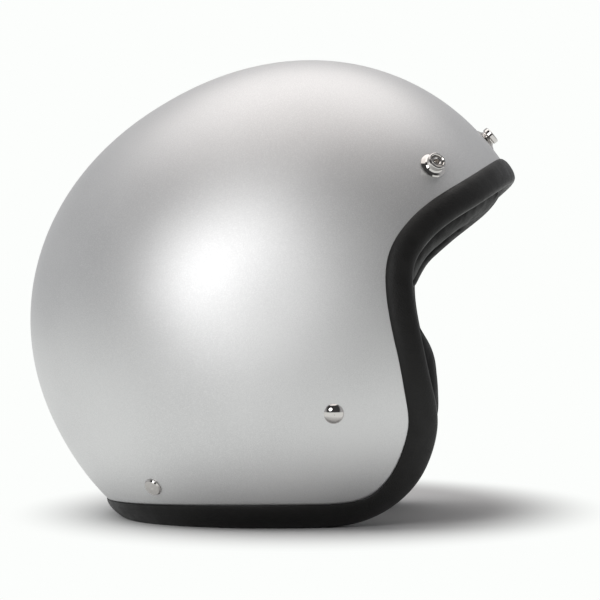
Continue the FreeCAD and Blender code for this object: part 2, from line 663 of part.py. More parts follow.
def make_short_strap():
    """The short chin strap, sewn into a loop that holds the bars of both rings."""
    half = RING_WIRE_R + WEB_T
    end = RING_BARS[1]
    flat = WEB_T / 2
    loop = [
        Part.makePolygon([Vector(end, 0, -half), Vector(LOOP_FULL, 0, -half), Vector(LOOP_START, 0, -flat),
                          Vector(LOOP_START, 0, flat), Vector(LOOP_FULL, 0, half), Vector(end, 0, half)]),
        Part.Arc(Vector(end, 0, half), Vector(end + half, 0, 0), Vector(end, 0, -half)).toShape(),
    ]
    loop = Part.Face(Part.Wire([e for piece in loop for e in piece.Edges])).extrude(Vector(0, WEB_W, 0))
    loop.translate(Vector(0, -WEB_W / 2, 0))
    bores = [crosswise(RING_WIRE_R + RING_CLEARANCE, x, 0, 2 * WEB_W) for x in RING_BARS]
    body = strip(LOOP_START, WEB_W, WEB_T).fuse([crosswise(WEB_T / 2, 0, 0, WEB_W), loop])
    return body.cut(bores).removeSplitter()


def make_ring(bar, half, leg):
    """A D-shaped wire ring lying flat: a straight bar across the strap, two legs and a round end."""
    wire = RING_WIRE_R
    pieces = [crosswise(wire, bar, 0, 2 * half)]
    for y in (-half, half):
        pieces.append(Part.makeSphere(wire, Vector(bar, y, 0)))
        pieces.append(Part.makeCylinder(wire, leg, Vector(bar, y, 0), Vector(1, 0, 0)))
    bow = Part.makeTorus(half, wire, Vector(0, 0, 0), Vector(0, 0, 1), -180, 180, 180)
    bow.rotate(Vector(0, 0, 0), Vector(0, 0, 1), -90)
    bow.translate(Vector(bar + leg, 0, 0))
    return pieces[0].fuse(pieces[1:] + [bow]).removeSplitter()


def make_long_strap():
    """The long chin strap, from its swing axis to the fold where its tail turns back."""
    hole = disc(SNAP_STUD_R + SNAP_CLEARANCE, -WEB_T, WEB_T)
    hole.translate(Vector(SNAP_AT, 0, 0))
    fold = crosswise(FOLD_R + FOLD_CLEARANCE, LONG_STRAP, TAIL_GAP / 2, 2 * WEB_W)
    body = strip(LONG_STRAP, WEB_W, WEB_T).fuse(crosswise(WEB_T / 2, 0, 0, WEB_W))
    return body.cut([hole, fold]).removeSplitter()


def make_tail():
    """The long strap's free end, folded back over it about the rounded fold, and held down by a snap."""
    end = LONG_STRAP - TAIL_LENGTH
    body = strip(TAIL_LENGTH, WEB_W, WEB_T, end, TAIL_GAP)
    corners = [e for e in upright_edges(body) if e.CenterOfMass.x < end + WEB_T]
    hole = disc(SNAP_CAP_R + SNAP_CLEARANCE, TAIL_GAP - WEB_T, TAIL_GAP + WEB_T)
    hole.translate(Vector(SNAP_AT, 0, 0))
    fold = crosswise(FOLD_R, LONG_STRAP, TAIL_GAP / 2, WEB_W)
    return body.makeFillet(WEB_CORNER, corners).cut(hole).fuse(fold).removeSplitter()


def make_tail_snap():
    """The cap through the tail and the stud through the strap below it, pressed together."""
    cap, stud = revolved(SNAP_CAP_SHAPE), revolved(SNAP_STUD_SHAPE)
    cap.translate(Vector(SNAP_AT, 0, TAIL_GAP - WEB_T / 2))
    stud.translate(Vector(SNAP_AT, 0, -WEB_T / 2))
    return cap, stud


# ---------------------------------------------------------------- build
def layers():
    """The egg-shaped solids that the shell, liner and pads are cut from."""
    depths = {
        "out": 0.0, "shell_in": SHELL_WALL, "trim_slot_out": -TRIM_GAP, "trim_slot_in": SHELL_WALL + TRIM_GAP,
        "liner_out": LINER_OUT, "liner_in": LINER_IN, "lining_out": LINING_OUT, "lining_in": LINING_IN,
        "wrap": PAD_WRAP_OUT, "block_out": BLOCK_OUT, "block_in": BLOCK_IN, "cheek_out": CHEEK_OUT,
        "cheek_in": CHEEK_IN, "neck_in": NECK_IN, "leg_out": LEG_DEPTH, "leg_in": LEG_DEPTH + WEB_T,
    }
    return {name: layer_solid(depth) for name, depth in depths.items()}


def fastener_seats():
    """Placements on the shell of the three studs and the four strap rivets."""
    out_at_stud = bisect(lambda x: shell_value(SHELL_CENTRE_X + x, 0, STUD_CENTRE_Z, 0) < 1, 0.0, FAR)
    studs = {
        "center": shell_seat(SHELL_CENTRE_X + out_at_stud, STUD_CENTRE_Z, 0),
        "left": shell_seat(*STUD_SIDE, 1),
        "right": shell_seat(*STUD_SIDE, -1),
    }
    rivets = {
        "front_left": shell_seat(*FRONT_RIVET, 1), "front_right": shell_seat(*FRONT_RIVET, -1),
        "rear_left": shell_seat(*REAR_RIVET, 1), "rear_right": shell_seat(*REAR_RIVET, -1),
    }
    return studs, rivets


def make_straps(eggs, rivet_holes):
    """The left strap is short and carries the rings; the right one is long and has the tail."""
    made = {}
    for name, hand, turn in (("left", 1, 0.0), ("right", -1, LONG_STRAP_TURN)):
        made["front_strap_leg_" + name] = make_front_leg(eggs, hand, turn, rivet_holes["front_" + name])
        made["rear_strap_leg_" + name] = make_rear_leg(eggs, hand, rivet_holes["rear_" + name])
    cap, stud = make_tail_snap()
    short = {
        "chin_strap_left": make_short_strap(), "strap_sleeve_left": make_sleeve(SHORT_SLEEVE_END),
        "d_ring_outer": make_ring(RING_BARS[0], RING_HALF[0], RING_LEG[0]),
        "d_ring_inner": make_ring(RING_BARS[1], RING_HALF[1], RING_LEG[1]),
    }
    long = {
        "chin_strap_right": make_long_strap(), "strap_sleeve_right": make_sleeve(LONG_SLEEVE_END),
        "strap_tail": make_tail(), "tail_snap_cap": cap, "tail_snap_stud": stud,
    }
    made.update({name: seat(shape, strap_place(1, 0.0)) for name, shape in short.items()})
    made.update({name: seat(shape, strap_place(-1, LONG_STRAP_TURN)) for name, shape in long.items()})
    return made


def main():
    os.makedirs(PARTS, exist_ok=True)
    eggs = layers()
    stud_seats, rivet_seats = fastener_seats()
    stud_holes = [seat(disc(EYELET_R + HOLE_CLEARANCE, *STUD_HOLE_Z), p) for p in stud_seats.values()]
    rivet_hole = disc(RIVET_SHANK_R + HOLE_CLEARANCE, *RIVET_HOLE_Z)
    rivet_holes = {name: seat(rivet_hole, place) for name, place in rivet_seats.items()}
    pocket = disc(STUD_POCKET_R, -STUD_POCKET_DEPTH, STUD_HOLE_Z[1])
    pockets = Part.makeCompound([seat(pocket, p) for p in stud_seats.values()])

    liner = between(eggs["liner_out"], eggs["liner_in"], liner_region(LINER_INSET, 0))
    crown = between(eggs["lining_out"], eggs["lining_in"], liner_region(CROWN_INSET, CROWN_LIFT))
    cheek_room = through(cheek_region([0.0] * len(CHEEK_REACH), CHEEK_ROOM))
    made = {
        "outer_shell": make_shell(eggs, Part.makeCompound(stud_holes + list(rivet_holes.values()))),
        "edge_trim": make_trim(eggs),
        "impact_liner": tidy(liner.cut([pockets, cheek_room])),
        "crown_pad": tidy(crown.cut(cheek_room)),
        "brow_pad": make_brow_pad(eggs),
        "neck_roll": make_neck_roll(eggs),
    }
    made.update(make_cheeks(eggs))
    made.update(make_studs(stud_seats))
    made.update(make_rivets(rivet_seats))
    made.update(make_straps(eggs, rivet_holes))

    for name, shape in made.items():
        print(name, len(shape.Solids), shape.isValid(), round(shape.Volume / 1000, 2), "cm3")
        shape.exportStep(os.path.join(PARTS, name + ".step"))


main()
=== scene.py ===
"""Looks of the open face motorcycle helmet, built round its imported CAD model.

Metres, in the CAD's own frame: +X is the way the face looks, +Y the wearer's left, +Z up, the rim on z = 0.
The shell and everything inside it are layers of one superellipsoid. A piece is laid out in side view (x, z),
then carried out to the layer that lies so far under the outer surface.
"""

import json
import math

import bmesh
import bpy
import numpy as np
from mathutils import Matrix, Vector


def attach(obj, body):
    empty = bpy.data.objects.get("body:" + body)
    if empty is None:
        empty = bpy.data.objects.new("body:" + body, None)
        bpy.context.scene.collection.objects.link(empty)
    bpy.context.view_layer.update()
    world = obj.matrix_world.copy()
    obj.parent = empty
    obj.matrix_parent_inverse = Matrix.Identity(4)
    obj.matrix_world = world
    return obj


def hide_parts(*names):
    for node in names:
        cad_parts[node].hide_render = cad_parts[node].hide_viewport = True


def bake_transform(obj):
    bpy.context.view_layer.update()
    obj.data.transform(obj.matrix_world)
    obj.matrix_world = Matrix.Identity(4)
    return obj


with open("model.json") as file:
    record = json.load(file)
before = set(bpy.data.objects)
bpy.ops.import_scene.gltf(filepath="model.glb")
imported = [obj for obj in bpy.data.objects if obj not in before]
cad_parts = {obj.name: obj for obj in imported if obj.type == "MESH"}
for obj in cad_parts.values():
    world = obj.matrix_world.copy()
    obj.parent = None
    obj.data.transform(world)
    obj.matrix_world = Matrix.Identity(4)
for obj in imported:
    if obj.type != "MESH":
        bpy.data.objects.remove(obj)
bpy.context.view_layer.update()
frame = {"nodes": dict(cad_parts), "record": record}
NODES = frame["nodes"]
MM = 0.001

# ---------------------------------------------------------------- the studio, in metres
CAMERA, TARGET, LENS, SENSOR = (0.0823, -1.2, 0.1003), (0.01416, 0, 0.1166), 132.3, 36
BACKGROUND = (0.975, 0.99, 0.975)
ROOM, ROOM_DARK = (0.52, 0.525, 0.535), (0.06, 0.06, 0.062)
DARK_SIDE = (0.1, -0.9, 0.42)       # the unlit part of the room is behind the camera and above it,
DARK_FROM, DARK_TO = 0.28, 0.62     # and darkens between these shares of the way towards it
FLOOR_HALF_MM = 6e3
# the floor's grey, darker than the background, is a painted shadow round the helmet
PAINTED_SHADOW_TONES = (0.58, 0.58, 0.58), (0.61, 0.61, 0.61)
SHADOW_SHIFT, SHADOW_SCALE = (-0.024, -0.045, 0.0), (1.25, 0.8, 1.0)   # the grey floor, a painted shadow, shows in an oval, and is lost in the background between these distances
SHADOW_FADE = (0.12, 0.215)         # and is lost in the background between these distances

# ---------------------------------------------------------------- the shell's formula, in mm like the CAD
CENTRE_X, CENTRE_Z = 9.0, 110.6
LONG, SHORT, HALF_WIDTH = 140.1, 131.2, 114.0
LEAN = math.radians(30.0)
PROFILE_POWER, WIDTH_POWER, WIDTH_TAPER = 2.118, 2.4, 0.14
WALL = 3.5
FAR = 260.0                         # longer than any ray inside the shell
EDGE = [                            # x, z of the shell's edge in side view, from the brow to the rim
    (130.4, 185.6), (108.3, 169.0), (90.0, 156.4), (79.3, 145.5), (73.7, 135.7),
    (72.4, 121.0), (74.7, 104.7), (78.4, 87.5), (81.9, 71.7), (85.0, 55.5),
    (83.0, 40.2), (76.2, 24.6), (64.0, 12.0), (47.4, 4.4), (29.7, 2.4),
]
RIM_Z = 2.2                         # the edge runs level at this height to the middle of the back

# ---------------------------------------------------------------- padding and straps, in mm like the CAD
LINING = (27.4, 31.5)               # depths of the crown lining's outer and inner faces
CROWN_INSET = 38.0                  # the lining starts this far behind the shell's edge
CROWN_POINTS = 6                    # along the first so many of the edge's points,
CROWN_FOOT = [(-18.0, 125.0), (-48.0, 52.5), (-93.0, 48.5)]   # and has this lower edge after them
QUILT_PITCH, QUILT_RISE, QUILT_SINK = 24.0 * 1.4, 3.6, 0.8
BROW_REACH = [3.0, 5.4, 7.2, 6.9, 5.6, 2.6]   # how far past each of the edge's points the brow pad reaches
BROW_SEAM, BROW_SWELL = 16.0, 1.4
CHEEK_FIRST = 5                     # the cheek pads' front starts at this one of the edge's points
CHEEK_REACH = [2.6, 2.6, 7.4, 6.3, 3.0, -2.0, -6.0, -8.0]
CHEEK_SEAM, CHEEK_SWELL = 17.0, 1.3
CHEEK_SEAM_Y = 72.0                 # the seam is pressed in no further out than this
CHEEK_INNER_Y = 56.0
PIPING_R, PIPING_LIFT, PIPING_START = 1.5, 0.9, 20
NECK_SEAM_Z, NECK_SEAM_X = 27.0, -30.0
WEB_T, WEB_W, WEB_CORNER = 1.5, 20.5, 4.0
CORNER_STEPS = np.array([0, 1.3, 2.6, 4.0])   # rows of the mesh across the cut corners of an end
LEG_X, LEG_TOP_Z, LEG_FOOT_Z, LEG_MIDDLE = 37.3, 67.9, 10.0, 7.15
REAR_LEG_X, REAR_LEG_Z = (-65.3, 45.0), (12.0, 31.5)
REAR_LEG_CROSS_X, CROSS_GAP = 18.0, 0.1   # it rises over the front leg from here on
STRAP_Z, STRAP_Y = 3.8, 66.0
LONG_TURN = math.radians(30.0)
LOOP_R, LOOP_X = 2.35, 61.0
LOOP_START_X, LOOP_BACK_X, LOOP_UNDER = 44.0, 34.0, 1.62
FOLD_X, FOLD_MIDDLE_Z = 104.0, 1.125
FOLD_ROOM = 2.05                    # the long strap ends this far short of the fold's middle
TAIL_END_X = 68.0
SLEEVE_START, SLEEVE_HALF = 6.0, 12.5
SLEEVE_END = {"left": 43.0, "right": 62.0}
SEWN_INSET, SEWN_HEIGHT = 2.1, 1.0


def layer_value(p, depth):
    """Below 1 inside the layer that lies depth under the outer surface, for an array of points in mm."""
    dx, dz = p[..., 0] - CENTRE_X, p[..., 2] - CENTRE_Z
    along = dx * math.cos(LEAN) + dz * math.sin(LEAN)
    across = -dx * math.sin(LEAN) + dz * math.cos(LEAN)
    width = (HALF_WIDTH - depth) * (1 - WIDTH_TAPER * dz / SHORT)
    profile = (abs(along / (LONG - depth)) ** PROFILE_POWER
               + abs(across / (SHORT - depth)) ** PROFILE_POWER) ** (1 / PROFILE_POWER)
    return (profile ** WIDTH_POWER + abs(p[..., 1] / width) ** WIDTH_POWER) ** (1 / WIDTH_POWER)


def solve(start, direction, depth):
    """Where rays from inside a layer leave it."""
    start, direction = np.broadcast_arrays(np.asarray(start, float), np.asarray(direction, float))
    low = np.zeros(direction.shape[:-1])
    high = np.full(direction.shape[:-1], FAR)
    for _ in range(44):
        middle = (low + high) / 2
        inside = layer_value(start + direction * middle[..., None], depth) < 1
        low, high = np.where(inside, middle, low), np.where(inside, high, middle)
    return start + direction * low[..., None]


def carried_out(x, z, depth, hand=1):
    """The points of a layer at places in side view, on one side of the helmet."""
    x, z = np.broadcast_arrays(np.asarray(x, float), np.asarray(z, float))
    flat = np.stack([x, np.zeros_like(x), z], -1)
    out = solve(flat, np.array([0.0, hand, 0.0]), depth)
    outside = layer_value(flat, depth) >= 1
    out[..., 1] = np.where(outside, 0, out[..., 1])
    return out


def from_centre(direction, depth):
    direction = direction / np.linalg.norm(direction, axis=-1, keepdims=True)
    return solve(np.array([CENTRE_X, 0, CENTRE_Z]), direction, depth)


def outward(p, depth=0.0):
    """Unit normals of the layer through an array of points."""
    step = 0.01
    gradient = [
        layer_value(p + step * axis, depth) - layer_value(p - step * axis, depth) for axis in np.eye(3)
    ]
    gradient = np.stack(gradient, -1)
    return gradient / np.linalg.norm(gradient, axis=-1, keepdims=True)


# ---------------------------------------------------------------- curves
def spline(points, count):
    """Evenly spaced points of the smooth curve through the points given."""
    p = np.asarray(points, float)
    t = np.concatenate([[0], np.cumsum(np.linalg.norm(np.diff(p, axis=0), axis=1))])
    n = len(p)
    h = np.diff(t)
    system, right = np.eye(n), np.zeros_like(p)
    for i in range(1, n - 1):
        system[i, i - 1:i + 2] = h[i - 1], 2 * (h[i - 1] + h[i]), h[i]
        right[i] = 6 * ((p[i + 1] - p[i]) / h[i] - (p[i] - p[i - 1]) / h[i - 1])
    bend = np.linalg.solve(system, right)
    at = np.linspace(0, t[-1], 12 * count)
    k = np.clip(np.searchsorted(t, at, side="right") - 1, 0, n - 2)
    a, b, w = t[k + 1] - at, at - t[k], h[k]
    value = (
        (bend[k].T * a ** 3 + bend[k + 1].T * b ** 3) / (6 * w)
        + (p[k].T / w - bend[k].T * w / 6) * a + (p[k + 1].T / w - bend[k + 1].T * w / 6) * b
    ).T
    return evenly(value, count)


def evenly(points, count, closed=False):
    """The same line with evenly spaced points."""
    p = np.asarray(points, float)
    if closed:
        p = np.vstack([p, p[:1]])
    t = np.concatenate([[0], np.cumsum(np.linalg.norm(np.diff(p, axis=0), axis=1))])
    at = np.linspace(0, t[-1], count + 1)[:-1] if closed else np.linspace(0, t[-1], count)
    return np.stack([np.interp(at, t, p[:, k]) for k in range(p.shape[1])], -1)


def edge_in_side_view():
    """The shell's edge from the middle of the brow to the middle of the rear rim, as (x, z)."""
    front = spline(EDGE, 600)
    outside = layer_value(np.stack([front[:, 0], 0 * front[:, 0], front[:, 1]], -1), 0) >= 1
    front = front[np.argmin(outside):]
    rear = solve([CENTRE_X, 0, RIM_Z], [-1.0, 0, 0], 0)[0]
    run = np.linspace(0, 1, 200)[1:]
    back = front[-1] + np.outer(1 - (1 - run) ** 2, np.array([rear, RIM_Z]) - front[-1])
    return np.vstack([front, back])


def all_round(side, depth, count):
    """A closed loop on a layer, evenly spaced from the middle of the brow, from half of it in side view."""
    half = carried_out(side[:, 0], side[:, 1], depth, -1)
    half[[0, -1], 1] = 0
    other = half[-2:0:-1] * [1, -1, 1]
    return evenly(np.vstack([half, other]), count, closed=True)


def side_offset(side, distance):
    """A line in side view moved towards the face opening (plus) or back over the shell (minus)."""
    ahead = np.gradient(side, axis=0)
    ahead /= np.linalg.norm(ahead, axis=1, keepdims=True)
    return side + np.stack([-ahead[:, 1], ahead[:, 0]], -1) * np.reshape(distance, (-1, 1))


# ---------------------------------------------------------------- meshes
def make_object(name, points, faces, uv=None):
    """A smooth-shaded object from points in mm; uv, where given, is in mm of cloth."""
    mesh = bpy.data.meshes.new(name)
    mesh.from_pydata((np.asarray(points, float).reshape(-1, 3) * MM).tolist(), [], faces)
    mesh.validate()
    solid = bmesh.new()
    solid.from_mesh(mesh)
    bmesh.ops.recalc_face_normals(solid, faces=solid.faces)
    solid.to_mesh(mesh)
    solid.free()
    if uv is not None:
        layer = mesh.uv_layers.new(name="cloth")
        corners = np.zeros(len(mesh.loops), int)
        mesh.loops.foreach_get("vertex_index", corners)
        layer.data.foreach_set("uv", (np.asarray(uv, float).reshape(-1, 2)[corners] * MM).ravel())
    mesh.polygons.foreach_set("use_smooth", [True] * len(mesh.polygons))
    piece = bpy.data.objects.new(name, mesh)
    bpy.context.scene.collection.objects.link(piece)
    return piece


def grid_faces(rows, columns, wrap_rows=False, wrap_columns=False, first=0):
    """Four-sided faces of a grid of points, numbered along its rows from the first."""
    faces = []
    for i in range(rows if wrap_rows else rows - 1):
        for j in range(columns if wrap_columns else columns - 1):
            a, b = first + i * columns, first + ((i + 1) % rows) * columns
            faces.append((a + j, a + (j + 1) % columns, b + (j + 1) % columns, b + j))
    return faces


def tube(name, path, radius, sides=10):
    """Round piping along a path in mm."""
    path = np.asarray(path, float)
    ahead = np.gradient(path, axis=0)
    ahead /= np.linalg.norm(ahead, axis=1, keepdims=True)
    across = np.cross(ahead, outward(path))
    across /= np.linalg.norm(across, axis=1, keepdims=True)
    up = np.cross(across, ahead)
    turn = np.linspace(0, 2 * math.pi, sides, endpoint=False)
    cos, sin = np.cos(turn)[None, :, None], np.sin(turn)[None, :, None]
    points = path[:, None] + radius * (cos * across[:, None] + sin * up[:, None])
    faces = grid_faces(len(path), sides, wrap_columns=True)
    faces += [tuple(range(sides))[::-1], tuple(range((len(path) - 1) * sides, len(path) * sides))]
    return make_object(name, points, faces)


# ---------------------------------------------------------------- shell and trim
def cap_over(loop, pole, rings, depths, bumps=None):
    """Points and faces of outer and inner skins over a closed loop, seen from a pole, joined at the loop."""
    centre = np.array([CENTRE_X, 0, CENTRE_Z])
    rim = loop - centre
    rim /= np.linalg.norm(rim, axis=1, keepdims=True)
    pole = np.asarray(pole, float) / np.linalg.norm(pole)
    angle = np.arccos(np.clip(rim @ pole, -1, 1))[:, None, None]
    share = np.linspace(0, 1, rings + 1)[1:][None, :, None]
    rays = (np.sin((1 - share) * angle) * pole + np.sin(share * angle) * rim[:, None]) / np.sin(angle)
    points, faces = [], []
    stations = len(loop)
    for k, depth in enumerate(depths):
        skin = from_centre(rays, depth)
        top = from_centre(pole, depth)
        if bumps is not None and k == 1:
            skin = skin - outward(skin, depth) * bumps(skin)[..., None]
            top = top - outward(top, depth) * bumps(top)[..., None]
        first = k * (stations * rings + 1)
        points += [top[None], skin.reshape(-1, 3)]
        wall = grid_faces(stations, rings, wrap_rows=True, first=first + 1)
        starts = [first + 1 + i * rings for i in range(stations)]
        fan = [(first, a, b) for a, b in zip(starts, starts[1:] + starts[:1])]
        faces += wall + fan if k else [f[::-1] for f in wall + fan]
    second = stations * rings + 1
    for i in range(stations):
        a, b = (i + 1) * rings, ((i + 1) % stations + 1) * rings
        faces.append((a, b, second + b, second + a))
    return np.vstack(points), faces


def make_shell(edge):
    points, faces = cap_over(all_round(edge, 0, 360), (-0.6, 0, 0.8), 90, (0.0, WALL))
    return make_object("shell_skin", points, faces)


TRIM_MIDDLE = (-3.0, -1.75)
TRIM_HALF = (7.5, 4.1)
TRIM_POWER = 2.4
TRIM_GAP = 0.2
TRIM_EXTRA = (1.8, 5.8)
TRIM_EXTRA_X = (-120.0, 70.0)
TRIM_WIDENS_Z = (90.0, 15.0)


def smooth(share):
    share = np.clip(share, 0, 1)
    return share * share * (3 - 2 * share)


def trim_extra(p):
    """How much wider the roll is at points of the edge than it is at the brow."""
    fall = smooth((TRIM_WIDENS_Z[0] - p[:, 2]) / (TRIM_WIDENS_Z[0] - TRIM_WIDENS_Z[1]))
    return fall * np.interp(p[:, 0], TRIM_EXTRA_X, TRIM_EXTRA)


def trim_section(extra):
    """The roll's outline as (past the shell's edge, out of its surface), with the slot for the shell."""
    lip = math.acos((1 - (abs(TRIM_GAP - TRIM_MIDDLE[1]) / TRIM_HALF[1]) ** TRIM_POWER) ** 0.5)
    turn = np.linspace(math.pi - lip, lip - math.pi, 40)
    cos, sin = np.cos(turn), np.sin(turn)
    middle, half = TRIM_MIDDLE[0] - extra / 2, TRIM_HALF[0] + extra / 2
    past = middle[:, None] + half[:, None] * np.sign(cos) * abs(cos) ** (2 / TRIM_POWER)
    out = TRIM_MIDDLE[1] + TRIM_HALF[1] * np.sign(sin) * abs(sin) ** (2 / TRIM_POWER)
    roll = np.stack(np.broadcast_arrays(past, out), -1)
    slot = np.array([(TRIM_GAP, -WALL - TRIM_GAP), (TRIM_GAP, TRIM_GAP)])
    return np.concatenate([roll, np.broadcast_to(slot, (len(extra), 2, 2))], 1)


def round_frames(loop):
    """Along a closed loop on the shell: the surface normal, and the way past the shell's edge."""
    ahead = np.roll(loop, -1, 0) - np.roll(loop, 1, 0)
    ahead /= np.linalg.norm(ahead, axis=1, keepdims=True)
    normal = outward(loop)
    past = np.cross(normal, ahead)
    past /= np.linalg.norm(past, axis=1, keepdims=True)
    return normal, past


def make_trim(edge):
    loop = all_round(edge, 0, 560)
    normal, past = round_frames(loop)
    if past[0] @ np.array([1.0, 0, -0.5]) < 0:
        past = -past
    section = trim_section(trim_extra(loop))
    sagged = section[..., 1:] - np.where(section[..., :1] < 0, section[..., :1] ** 2 / (2 * SHORT), 0)
    points = loop[:, None] + past[:, None] * section[..., :1] + normal[:, None] * sagged
    points[..., 2] = np.maximum(points[..., 2], 0)
    steps = np.linalg.norm(np.diff(section[0], axis=0), axis=1)
    round_it = np.concatenate([[0], np.cumsum(steps)])
    length = np.linalg.norm(loop - np.roll(loop, 1, 0), axis=1).cumsum()
    uv = np.stack(np.broadcast_arrays(length[:, None], round_it[None]), -1)
    return make_object("trim_roll", points, grid_faces(len(loop), section.shape[1], True, True), uv)


# ---------------------------------------------------------------- padding
def puffed(name, node, voxel, most, pressure=4.0, frames=20):
    """A soft copy of a CAD solid: remeshed, then blown up as cloth, each point moving at most so far."""
    source = NODES[node]
    mesh = source.data.copy()
    mesh.transform(source.matrix_world)
    mesh.materials.clear()
    welded = bmesh.new()
    welded.from_mesh(mesh)
    bmesh.ops.remove_doubles(welded, verts=welded.verts, dist=0.00002)
    welded.to_mesh(mesh)
    welded.free()
    piece = bpy.data.objects.new(name, mesh)
    bpy.context.scene.collection.objects.link(piece)
    voxels = piece.modifiers.new("voxels", "REMESH")
    voxels.mode, voxels.voxel_size, voxels.use_smooth_shade = "VOXEL", voxel * MM, True
    even = piece.modifiers.new("even", "SMOOTH")
    even.factor, even.iterations = 0.5, 8
    apply_modifiers(piece)
    before = vertices(piece.data)
    cloth_sim = piece.modifiers.new("pressure", "CLOTH")
    settings = cloth_sim.settings
    settings.quality, settings.mass = 6, 0.2
    settings.tension_stiffness, settings.compression_stiffness, settings.bending_stiffness = 12, 12, 0.6
    settings.use_pressure, settings.uniform_pressure_force = True, pressure
    settings.effector_weights.gravity = 0
    cloth_sim.point_cache.frame_end = frames
    for moment in range(1, frames + 1):
        bpy.context.scene.frame_set(moment)
    grown = piece.evaluated_get(bpy.context.evaluated_depsgraph_get()).to_mesh()
    move = vertices(grown) - before
    piece.modifiers.clear()
    bpy.context.scene.frame_set(1)
    length = np.linalg.norm(move, axis=1, keepdims=True)
    move *= np.minimum(1, most * MM / np.maximum(length, 1e-9))
    piece.data.vertices.foreach_set("co", (before + move).ravel())
    finer = piece.modifiers.new("finer", "SUBSURF")
    finer.levels = finer.render_levels = 1
    apply_modifiers(piece)
    piece.data.polygons.foreach_set("use_smooth", [True] * len(piece.data.polygons))
    return piece


def apply_modifiers(piece):
    bpy.context.view_layer.update()
    done = bpy.data.meshes.new_from_object(piece.evaluated_get(bpy.context.evaluated_depsgraph_get()))
    piece.modifiers.clear()
    piece.data = done


def vertices(mesh):
    place = np.zeros(3 * len(mesh.vertices))
    mesh.vertices.foreach_get("co", place)
    return place.reshape(-1, 3)


def press_in(piece, depth_at):
    """Press seams and channels into a soft piece; depth_at gives how far, in mm, for points in mm."""
    place = vertices(piece.data) / MM
    normals = np.zeros(place.size)
    piece.data.vertices.foreach_get("normal", normals)
    pressed = place - normals.reshape(-1, 3) * depth_at(place)[:, None]
    piece.data.vertices.foreach_set("co", (pressed * MM).ravel())
    piece.data.update()


def groove(distance, depth, width):
    return depth * np.exp(-((distance / width) ** 2))


def nearest(points, line):
    """The distance of each point, in side view, from a line in side view."""
    flat = points[:, ::2]
    best = np.full(len(flat), 1e9)
    for place in line:
        best = np.minimum(best, ((flat - place) ** 2).sum(1))
    return np.sqrt(best)


def reach_line(first, reach, count):
    """The curve in side view that lies a distance past each of the edge's points, from one of them on."""
    line = np.array(EDGE)
    ahead = side_offset(line, 1.0) - line
    chosen = slice(first, first + len(reach))
    return spline(line[chosen] + ahead[chosen] * np.reshape(reach, (-1, 1)), count)


def quilting(p):
    """Bumps of the diamond quilting on the lining, as heights in mm."""
    around = np.arctan2(p[..., 1], p[..., 0] - CENTRE_X) * 58
    down = np.arccos(np.clip((p[..., 2] - CENTRE_Z) / np.linalg.norm(
        p - [CENTRE_X, 0, CENTRE_Z], axis=-1), -1, 1)) * 92
    a, b = p[..., 1] + (p[..., 0] - CENTRE_X), p[..., 1] - (p[..., 0] - CENTRE_X)
    top = abs(np.sin(math.pi * a / QUILT_PITCH)) * abs(np.sin(math.pi * b / QUILT_PITCH))
    side = abs(np.sin(math.pi * (around + down) / QUILT_PITCH))
    side *= abs(np.sin(math.pi * (around - down) / QUILT_PITCH))
    mix = smooth((down - 60) / 12)
    return QUILT_RISE * np.sqrt(top * (1 - mix) + side * mix) - QUILT_SINK


def make_crown():
    """The quilted lining, from the brow's flap back over the crown and down behind the ears."""
    brow = side_offset(np.array(EDGE), -CROWN_INSET)[:CROWN_POINTS]
    brow = spline(brow, 160)
    flat = np.stack([brow[:, 0], 0 * brow[:, 0], brow[:, 1]], -1)
    brow = brow[np.argmax(layer_value(flat, LINING[1]) < 1):]
    brow = brow[brow[:, 1] > CROWN_FOOT[0][1] + 2]
    corners = np.vstack([brow[-1:], [(brow[-1][0] - 2, CROWN_FOOT[0][1])], CROWN_FOOT])
    side = np.vstack([brow, evenly(corners, 160)[1:]])
    points, faces = cap_over(all_round(side, LINING[1], 320), (-0.25, 0, 1), 70, LINING, quilting)
    return make_object("quilted_crown", points, faces)


# ---------------------------------------------------------------- straps
def slab(name, middle, normal, thickness):
    """A closed sheet round a grid of middle points, with unit normals and a thickness at each point."""
    rows, columns = middle.shape[:2]
    half = np.broadcast_to(thickness, (rows, columns))[..., None] / 2
    count = rows * columns
    walls = grid_faces(rows, columns) + [f[::-1] for f in grid_faces(rows, columns, first=count)]
    border = list(range(columns)) + [i * columns + columns - 1 for i in range(1, rows)]
    border += [(rows - 1) * columns + j for j in range(columns - 2, -1, -1)]
    border += [i * columns for i in range(rows - 2, 0, -1)]
    for a, b in zip(border, border[1:] + border[:1]):
        walls.append((a, count + a, count + b, b))
    along = np.linalg.norm(np.diff(middle[:, columns // 2], axis=0), axis=1)
    along = np.concatenate([[0], np.cumsum(along)])[:, None]
    across = np.linalg.norm(np.diff(middle, axis=1), axis=2).cumsum(1)
    across = np.concatenate([np.zeros((rows, 1)), across], 1)
    across -= across[:, -1:] / 2
    uv = np.stack(np.broadcast_arrays(along, across), -1)
    points = np.stack([middle + normal * half, middle - normal * half])
    return make_object(name, points, walls, np.stack([uv, uv]))


def web_columns():
    """Places across a strap, from -1 to 1, and its thickness at each: full but for its rounded edges."""
    place = np.sin(np.linspace(-math.pi / 2, math.pi / 2, 17))
    return place, WEB_T * (0.35 + 0.65 * np.sqrt(np.clip(1 - abs(place) ** 24, 0, 1)))


def end_taper(distance):
    """The share of a strap's width that is left near its end, whose corners are cut off."""
    return 1 - np.clip(WEB_CORNER - distance, 0, WEB_CORNER) / (WEB_W / 2)


def on_wall(x, z, depth, hand):
    """Middle points and normals of webbing that lies on a layer inside the shell."""
    outer, inner = (carried_out(x, z, depth + k * WEB_T / 2, hand) for k in (-1, 1))
    gap = outer - inner
    return (outer + inner) / 2, gap / np.linalg.norm(gap, axis=-1, keepdims=True)


